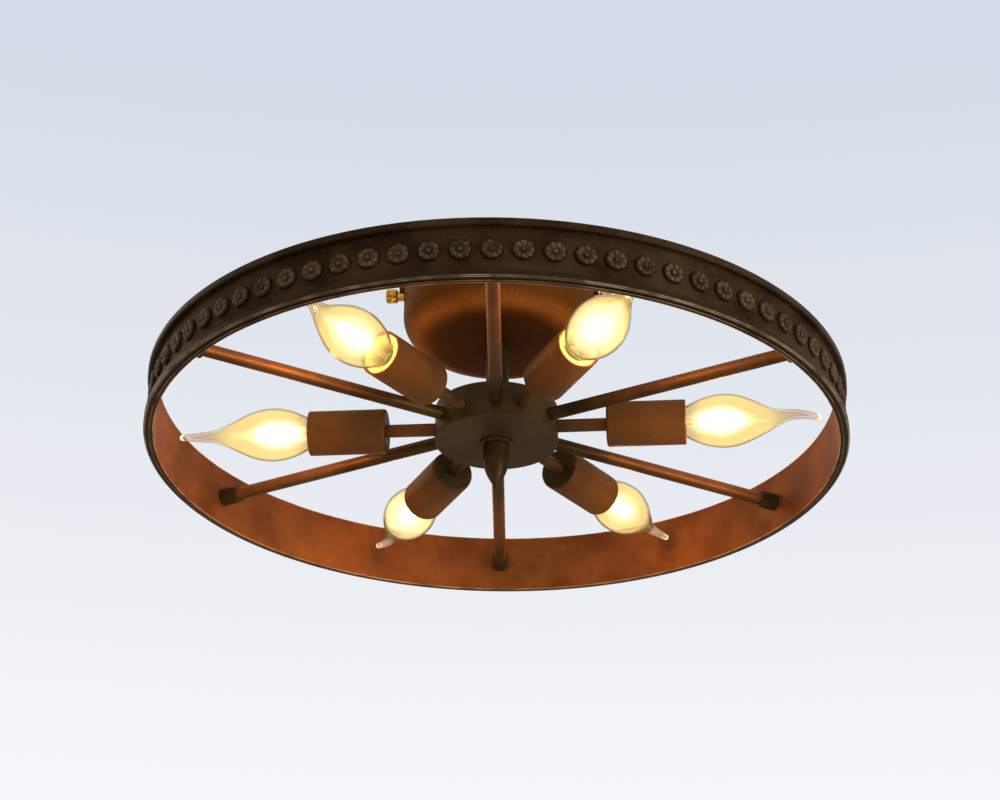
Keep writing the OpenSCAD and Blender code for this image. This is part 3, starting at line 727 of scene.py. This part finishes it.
def lit_glass(c, name, reach, narrow):
    """Thin amber glass, lit from inside: white round the filament, yellow at the neck, dark where it
    is seen edge on, and with light led along the walls of its tail to the tip."""
    coat = Finish(name)
    times, plus, ramp = coat.times, coat.plus, coat.ramp
    along = coat.height()
    facing = coat.add("LayerWeight", {"Blend": 0.5}).outputs["Facing"]
    body = times(ramp(along, *BODY_BEGINS), ramp(along, *BODY_ENDS, 1, 0))
    neck = ramp(along, *NECK_ENDS, 1, 0)
    tail = ramp(along, *TAIL_BEGINS)
    tip = ramp(along, *TIP_BEGINS)
    # How deep a point lies in the blurred white round the filament sticks
    off = coat.math("DIVIDE", coat.math("SUBTRACT", along, HEART_AT), reach)
    deep = coat.math("SUBTRACT", coat.math("SUBTRACT", 1.0, times(off, off)), times(facing, narrow))
    heart = ramp(deep, -0.1, 1.0)
    # A line of light along the middle, which narrows away from the neck
    beam = times(ramp(facing, 0.0, ramp(along, *BEAM_NARROWS, 0.38, 0.12), 1, 0),
                 ramp(along, *BEAM_BEGINS), ramp(along, *BEAM_ENDS, 1, 0))
    # The dark line of glass seen edge on, broader and fainter on the tail
    outline = times(ramp(facing, ramp(tail, 0, 1, 0.60, 0.46), ramp(tail, 0, 1, 0.82, 0.85)),
                    ramp(tail, 0, 1, 1, 0.75))
    wall = times(tail, ramp(facing, 0.12, 0.34))
    swirl = ramp(coat.noise(60, 3), 0.3, 0.7, 0.92, 1.08)
    glow = plus(times(body, 1.15), times(heart, heart, 2.0), times(beam, 0.8), times(neck, 0.6),
                times(wall, 0.62), times(tip, 1.0))
    lit = times(glow, swirl, coat.math("SUBTRACT", 1.0, times(outline, 0.92)))
    cover = plus(ramp(body, 0, 1, 0.05, 0.17), times(heart, 0.24), times(beam, 0.13),
                 times(neck, 0.20), times(outline, 0.68), times(wall, 0.42), times(tip, 0.4))
    hue = coat.mix(tail, coat.mix(coat.math("MAXIMUM", heart, beam), c.amber, c.glow), c.tail_light)
    hue = coat.mix(tip, coat.mix(neck, hue, c.neck_light), c.glow)
    shell = coat.add("BsdfPrincipled", {
        "Base Color": coat.mix(outline, c.glass_body, c.glass_edge), "Roughness": 0.06, "IOR": 1.5,
        "Emission Color": hue, "Emission Strength": lit})
    behind = coat.mix(outline, coat.mix(tail, c.glass_tint, c.tail_tint), c.glass_shade)
    clear = coat.add("BsdfTransparent", {"Color": behind})
    return coat.close(coat.add("MixShader", {0: cover, 1: clear.outputs[0],
                                             2: shell.outputs[0]}).outputs[0])


def lit_filament(c, strength):
    """Phosphor coat of a filament stick, white hot in its middle, with an uneven warm tint."""
    coat = Finish("lit_filament")
    warm = dimmed(c.glow, 1.0, 0.88, 0.70)
    uneven = coat.mix(coat.ramp(coat.noise(PITS, 2), 0.35, 0.65), c.glow, warm)
    middle = (STICKS_FROM + STICKS_TO) / 2
    off = coat.math("ABSOLUTE", coat.math("SUBTRACT", coat.height(), middle))
    return coat.surface(Base_Color=uneven, Roughness=0.5, Emission_Color=uneven,
                        Emission_Strength=coat.ramp(off, 5 * MM, 14 * MM, strength, 1.0))


def clear_stem(c):
    """Glass stem inside a bulb."""
    coat = Finish("stem_glass")
    edge = coat.add("LayerWeight", {"Blend": 0.4}).outputs["Facing"]
    seeds = coat.noise(700, 2)
    shell = coat.add("BsdfPrincipled", {"Base Color": c.stem_body, "Roughness": 0.05,
                                        "Normal": coat.bump(seeds, 0.05 * MM, 0.4)})
    clear = coat.add("BsdfTransparent", {"Color": c.stem_tint})
    return coat.close(coat.add("MixShader", {0: coat.ramp(edge, 0.1, 0.9, 0.25, 0.9),
                                             1: clear.outputs[0], 2: shell.outputs[0]}).outputs[0])


def cap_metal(c, s):
    """Nickel brass of the caps, darker in the thread."""
    coat = Finish("cap_brass")
    root = coat.ramp(coat.radius(), CAP_R - s.thread_depth, CAP_R, 0.7, 0)
    stain = coat.ramp(coat.noise(300, 3), 0.4, 0.7, 0, 0.4)
    colour = coat.mix(root, coat.mix(stain, c.brass, c.zinc), dimmed(c.brass, 0.35))
    return coat.surface(Base_Color=colour, Metallic=1.0,
                        Roughness=coat.ramp(coat.noise(PITS, 2), 0.3, 0.7, 0.2, 0.4))


def glass_radius(z, s):
    """Outside of the glass at a height over the end contact."""
    belly, tail = s.glass_width / 2, s.tail_width / 2
    if z <= CAP_LENGTH:
        return NECK_R
    if z <= BELLY_AT:
        rise = math.sin(math.pi / 2 * (z - CAP_LENGTH) / (BELLY_AT - CAP_LENGTH))
        return NECK_R + (belly - NECK_R) * rise ** 0.84
    if z <= TAIL_AT:
        fall = ((z - BELLY_AT) / (TAIL_AT - BELLY_AT)) ** 1.08
        return tail + (belly - tail) * (1 + math.cos(math.pi * fall)) / 2
    tip = s.tip_width / 2
    round_from = BULB_LENGTH - tip
    if z >= round_from:
        return tip * math.sqrt(max(0, 1 - ((z - round_from) / tip) ** 2))
    return tail + (tip - tail) * (z - TAIL_AT) / (round_from - TAIL_AT)


def glass_ring(z, r, s, segments):
    """A ring of the glass, set square to the bent axis of the tail."""
    swing = math.pi / (BULB_LENGTH - BEND_FROM)
    past = max(0, z - BEND_FROM)
    off = s.tail_bend * math.sin(swing * past)
    # The lean comes in over the first 8 mm of the bend
    lean = math.atan(s.tail_bend * swing * math.cos(swing * past)) * min(1, past / (8 * MM))
    return [(off + r * math.cos(a) * math.cos(lean), r * math.sin(a),
             z - r * math.cos(a) * math.sin(lean)) for a in angles(segments)]


def bulb_shell(s):
    """The glass as one closed wall: the hollow from its top to the neck, then the outside."""
    segments = 48
    tip = s.tip_width / 2
    round_from = BULB_LENGTH - tip
    belly = steps(CAP_LENGTH, BELLY_AT, 16, 1.4)
    inner = ([NECK_FROM] + belly + steps(BELLY_AT, BORE_FROM, 18)[1:]
             + steps(BORE_FROM, HOLLOW_END, 14)[1:])
    outer = ([NECK_FROM] + belly + steps(BELLY_AT, TAIL_AT, 26)[1:]
             + steps(TAIL_AT, round_from, 12)[1:]
             + [round_from + tip * math.sin(math.radians(a)) for a in (15, 30, 45, 60, 75)])

    def hollow(z):
        # The wall thickens up the tail until only a fine bore is left
        share = min(1, max(0, (z - BORE_FROM) / (HOLLOW_END - BORE_FROM)))
        r = glass_radius(z, s)
        return max((r - s.glass_wall) * (1 - share) + 0.22 * r * share, 0.25 * MM)

    rings = [glass_ring(HOLLOW_END + 1.5 * MM, 0, s, 1)]
    rings += [glass_ring(z, hollow(z), s, segments) for z in reversed(inner)]
    rings += [glass_ring(z, glass_radius(z, s), s, segments) for z in outer]
    rings.append(glass_ring(BULB_LENGTH, 0, s, 1))
    shell = Shape()
    shell.loft(rings)
    return shell


def filament_sticks(s):
    """A glass stem with two lead wires, two wire stars and four filament sticks between them."""
    stick_coat, glass_coat, wire_coat = range(3)
    low, high = STICKS_FROM, STICKS_TO
    form = Shape()
    form.turn(in_metres((0, 18), (5.1, 18), (5.3, 18.4), (5.1, 19), (3.0, 20), (2.0, 23), (1.9, 34),
                        (1.4, 38))
              + [(0.6 * MM, high - 0.8 * MM), (0, high - 0.6 * MM)], 24, glass_coat)
    wire, lead_out = 0.25 * MM, 2.3 * MM
    for side in (-1, 1):
        lead = Matrix.Translation((side * lead_out, 0, 0))
        form.turn([(0, 19 * MM), (wire, 19.2 * MM), (wire, low + 0.2 * MM), (0, low + 0.4 * MM)],
                  10, wire_coat, lead)
    r, spread = s.filament_width / 2, s.filament_spread
    for a in angles(4):
        around = Matrix.Rotation(a, 4, "Z")
        form.turn([(0, low), (0.7 * r, low + 0.15 * MM), (r, low + 0.8 * MM),
                   (r, high - 0.8 * MM), (0.7 * r, high - 0.15 * MM), (0, high)],
                  16, stick_coat, around @ Matrix.Translation((spread, 0, 0)))
        for level in (low + 0.3 * MM, high - 0.3 * MM):
            arm = (around @ Matrix.Translation((0, 0, level))
                   @ Matrix.Rotation(math.pi / 2, 4, "Y"))
            form.turn([(0, 0.2 * MM), (wire, 0.3 * MM), (wire, spread - 0.1 * MM), (0, spread)],
                      10, wire_coat, arm)
    return form


def lamp_cap(s):
    """A screw cap: a rolled thread on a thin shell, a dark insulator and an end contact."""
    metal_coat, insulator_coat, contact_coat = range(3)
    foot, start = 3.5 * MM, 4.2 * MM
    skirt_bore, foot_bore = 6.42 * MM, 3.2 * MM
    bore = CAP_R - s.thread_depth - 0.35 * MM

    def ring(z, r, depth=0.0):
        def reach(a):
            return r - depth * (0.5 + 0.5 * math.cos(2 * math.pi * z / s.thread_pitch - a))
        return wavy_ring(z, 48, reach)

    rings = [ring(foot, 3.7 * MM), ring(start, CAP_R - s.thread_depth)]
    # The thread comes in over the first millimetre
    rings += [ring(z, CAP_R, s.thread_depth * min(1, (z - start) / MM))
              for z in steps(start + 0.6 * MM, CAP_LENGTH - 3.4 * MM, 64)]
    rings += [ring(CAP_LENGTH - 2.6 * MM, CAP_R - 0.3 * MM),
              ring(CAP_LENGTH - 0.2 * MM, CAP_R - 0.3 * MM), ring(CAP_LENGTH, CAP_R - 0.45 * MM),
              ring(CAP_LENGTH - 0.1 * MM, skirt_bore), ring(CAP_LENGTH - 2.6 * MM, skirt_bore),
              ring(CAP_LENGTH - 6.2 * MM, bore), ring(start + 1.4 * MM, bore),
              ring(start + 0.6 * MM, foot_bore), ring(foot, foot_bore), ring(foot, 3.7 * MM)]
    form = Shape()
    form.loft(rings, metal_coat)
    form.turn(in_metres((0, 0.9), (3.2, 0.95), (3.65, 1.3), (3.65, 3.4), (0, 3.45)),
              32, insulator_coat)
    form.turn(in_metres((0, 0), (2.2, 0.05), (2.9, 0.35), (2.9, 0.88), (0, 0.88)),
              32, contact_coat)
    return form


def set_down(piece, place, body):
    """Moves a piece made on a lamp's own axes to its lamp. Its finish still follows those axes."""
    piece.matrix_world = place
    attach(piece, body)


class WHEEL_LIGHT_OT_bulbs(bpy.types.Operator):
    """Blow the six bent-tip bulbs: glass, filament sticks on their stem, and threaded caps"""
    bl_idname = "wheel_light.bulbs"
    bl_label = "Bulbs"

    def execute(self, context):
        s, c = context.scene.wheel_light_sizes, context.scene.wheel_light_colours
        strength = context.scene.wheel_light_stage.filament_power
        glass = {blur: lit_glass(c, f"lit_glass_{blur}", *BLUR[blur]) for blur in BLUR}
        sticks = [lit_filament(c, strength), clear_stem(c), plated("lead_wire", c.zinc, 0.2)]
        cap = [cap_metal(c, s), moulded("cap_insulator", c.insulator, 0.3),
               plated("end_contact", c.zinc, 0.3)]
        for k in LAMPS:
            place = lamp_place(k, TAIL_TURN[k])
            body = f"bulb_{k}"
            set_down(bulb_shell(s).piece(f"glass_{k}", [glass[BLUR_OF[k]]], body, "bulb_glass",
                                         f"bulb_glass_{k}", sharp=180), place, body)
            set_down(filament_sticks(s).piece(f"filament_sticks_{k}", sticks, body, "filament",
                                              f"filament_{k}"), place, body)
            set_down(lamp_cap(s).piece(f"cap_{k}", cap, body, "bulb_cap_metal", f"bulb_cap_{k}"),
                     place, body)
        return {"FINISHED"}


# ---------------------------------------------------------------- stage

WHEEL_CENTRE = (0, 0, WHEEL_Z)
KEY_LAMP_AT, KEY_LAMP_SIZE, KEY_WHITE = (1.9, -1.5, -0.75), 1.4, (1.0, 0.98, 0.95)
FILL_LAMP_AT, FILL_LAMP_SIZE, FILL_WHITE = (-1.9, 1.2, 0.9), 1.6, (0.95, 0.98, 1.0)
AMBIENT_WHITE = (1.0, 0.97, 0.92)
BULB_LIGHT_R = 8 * MM
FLOOR_HALF, FLOOR_GLOW = 6, 0.42
SKY_LOW, SKY_HIGH = 0.30, 0.58              # upward share of the directions between its two tones
SENSOR_WIDTH, FOCAL_LENGTH = 36, 83.86      # millimetres
# The camera's angles in degrees: below the wheel's level, the aim to the right and up, the roll of
# the picture, and the turn of the whole view round the light
TILT, PAN, LIFT, ROLL, ROUND = 26.936, 0.0711, 0.6877, 0.9538, 1.15


def photo_camera(distance):
    """The place of the camera: below the wheel's level, looking up at it."""
    tilt, pan, lift, roll, turn = (math.radians(a) for a in (TILT, PAN, LIFT, ROLL, ROUND))
    back = Vector((0, -distance * math.cos(tilt), -distance * math.sin(tilt)))
    ahead = Vector((0, math.cos(tilt), math.sin(tilt)))
    right = Vector((1, 0, 0))
    ahead = (ahead + right * math.tan(pan) + right.cross(ahead) * math.tan(lift)).normalized()
    right = ahead.cross(Vector((0, 0, 1))).normalized()
    up = right.cross(ahead)
    right, up = (math.cos(roll) * right + math.sin(roll) * up,
                 math.cos(roll) * up - math.sin(roll) * right)
    axes = Matrix((right, up, -ahead)).transposed().to_4x4()
    axes.translation = back
    return Matrix.Translation(WHEEL_CENTRE) @ Matrix.Rotation(turn, 4, "Z") @ axes


def soft_lamp(name, place, size, power, colour):
    """A round soft lamp that shines on the wheel's centre."""
    data = bpy.data.lights.new(name, "AREA")
    data.shape, data.size, data.energy, data.color = "DISK", size, power, colour
    lamp = bpy.data.objects.new(name, data)
    lamp.location = place
    aim = Vector(WHEEL_CENTRE) - Vector(place)
    lamp.rotation_euler = aim.to_track_quat("-Z", "Y").to_euler()
    bpy.context.scene.collection.objects.link(lamp)


class WHEEL_LIGHT_OT_stage(bpy.types.Operator):
    """Lay the pale floor and backdrop, and set the soft lamps and the camera"""
    bl_idname = "wheel_light.stage"
    bl_label = "Stage, light and camera"

    def execute(self, context):
        st = context.scene.wheel_light_stage
        self.floor(st)
        self.backdrop(context.scene, st)
        soft_lamp("key_lamp", KEY_LAMP_AT, KEY_LAMP_SIZE, st.key_power, KEY_WHITE)
        soft_lamp("fill_lamp", FILL_LAMP_AT, FILL_LAMP_SIZE, st.fill_power, FILL_WHITE)
        for k in LAMPS:
            self.bulb_light(context.scene, st, k)
        self.camera(context.scene, st)
        context.scene.view_settings.view_transform = "Standard"
        return {"FINISHED"}

    def floor(self, st):
        corners = ((-1, -1), (1, -1), (1, 1), (-1, 1))
        mesh = bpy.data.meshes.new("floor")
        mesh.from_pydata([(FLOOR_HALF * x, FLOOR_HALF * y, -st.floor_drop) for x, y in corners],
                         [], [(0, 1, 2, 3)])
        coat = Finish("floor_paint")
        shade = coat.mix(coat.ramp(coat.noise(3, 3), 0.3, 0.7, 0, 0.06), st.floor_colour,
                         dimmed(st.floor_colour, 0.9))
        # The camera sees the floor as pale as the backdrop, with the light's shadow still on it
        seen = coat.times(coat.add("LightPath").outputs["Is Camera Ray"], FLOOR_GLOW)
        mesh.materials.append(coat.surface(Base_Color=shade, Roughness=0.7, Emission_Color=shade,
                                           Emission_Strength=seen))
        floor = bpy.data.objects.new("floor", mesh)
        bpy.context.scene.collection.objects.link(floor)

    def backdrop(self, scene, st):
        """A pale sky seen by the camera and in gloss and glass, and an even light for the rest."""
        world = bpy.data.worlds.new("backdrop")
        scene.world = world
        world.use_nodes = True
        world.node_tree.nodes.clear()

        def add(kind, values, **settings):
            return add_node(world.node_tree, kind, values, settings)

        direction = add("TexCoord", {}).outputs["Generated"]
        height = add("SeparateXYZ", {0: direction}).outputs["Z"]
        share = add("MapRange", {"Value": height, "From Min": SKY_LOW,
                                 "From Max": SKY_HIGH}).outputs["Result"]
        pale = add("Mix", {0: share, 6: st.backdrop_low, 7: st.backdrop_high},
                   data_type="RGBA").outputs[2]
        path = add("LightPath", {}).outputs
        seen = path["Is Camera Ray"]
        for other in ("Is Glossy Ray", "Is Transmission Ray"):
            seen = add("Math", {0: seen, 1: path[other]}, operation="MAXIMUM").outputs[0]
        shown = add("Background", {"Color": pale, "Strength": 1.0}).outputs[0]
        even = add("Background", {"Color": AMBIENT_WHITE, "Strength": st.ambient}).outputs[0]
        both = add("MixShader", {0: seen, 1: even, 2: shown}).outputs[0]
        add("OutputWorld", {"Surface": both})

    def bulb_light(self, scene, st, k):
        """The warm light that one bulb throws on the pieces round it."""
        data = bpy.data.lights.new(f"bulb_light_{k}", "POINT")
        data.energy, data.color = st.bulb_power, st.bulb_light
        data.shadow_soft_size = BULB_LIGHT_R
        light = bpy.data.objects.new(f"bulb_light_{k}", data)
        light.matrix_world = lamp_place(k) @ Matrix.Translation((0, 0, BELLY_AT))
        light.visible_camera = False
        scene.collection.objects.link(light)

    def camera(self, scene, st):
        data = bpy.data.cameras.new("camera")
        data.sensor_width, data.lens = SENSOR_WIDTH, FOCAL_LENGTH
        data.clip_start, data.clip_end = 0.05, 50
        camera = bpy.data.objects.new("camera", data)
        scene.collection.objects.link(camera)
        camera.matrix_world = photo_camera(st.camera_distance)
        scene.camera = camera


# ---------------------------------------------------------------- add-on

PIECES = (WHEEL_LIGHT_OT_rim, WHEEL_LIGHT_OT_rosettes, WHEEL_LIGHT_OT_spokes, WHEEL_LIGHT_OT_hub,
          WHEEL_LIGHT_OT_canopy, WHEEL_LIGHT_OT_side_screws, WHEEL_LIGHT_OT_lampholders,
          WHEEL_LIGHT_OT_bulbs, WHEEL_LIGHT_OT_stage)
GROUPS = {"wheel_light_sizes": WheelLightSizes, "wheel_light_colours": WheelLightColours,
          "wheel_light_stage": WheelLightStage}


class WHEEL_LIGHT_PT_sidebar(bpy.types.Panel):
    """The light's pieces, sizes and colours"""
    bl_idname = "WHEEL_LIGHT_PT_sidebar"
    bl_label = "Wagon Wheel Light"
    bl_space_type = "VIEW_3D"
    bl_region_type = "UI"
    bl_category = "Wheel Light"

    def draw(self, context):
        for kind in PIECES:
            self.layout.operator(kind.bl_idname)
        for group in GROUPS:
            box = self.layout.box()
            for name in GROUPS[group].__annotations__:
                box.prop(getattr(context.scene, group), name)


def register():
    for kind in (*GROUPS.values(), *PIECES, WHEEL_LIGHT_PT_sidebar):
        bpy.utils.register_class(kind)
    for name, group in GROUPS.items():
        setattr(bpy.types.Scene, name, PointerProperty(type=group))


def unregister():
    for name in GROUPS:
        delattr(bpy.types.Scene, name)
    for kind in reversed((*GROUPS.values(), *PIECES, WHEEL_LIGHT_PT_sidebar)):
        bpy.utils.unregister_class(kind)


def main():
    register()
    for kind in PIECES:
        family, name = kind.bl_idname.split(".")
        if getattr(getattr(bpy.ops, family), name)() != {"FINISHED"}:
            raise RuntimeError(f"{kind.bl_label} was not made")


if __name__ == "__main__":
    main()
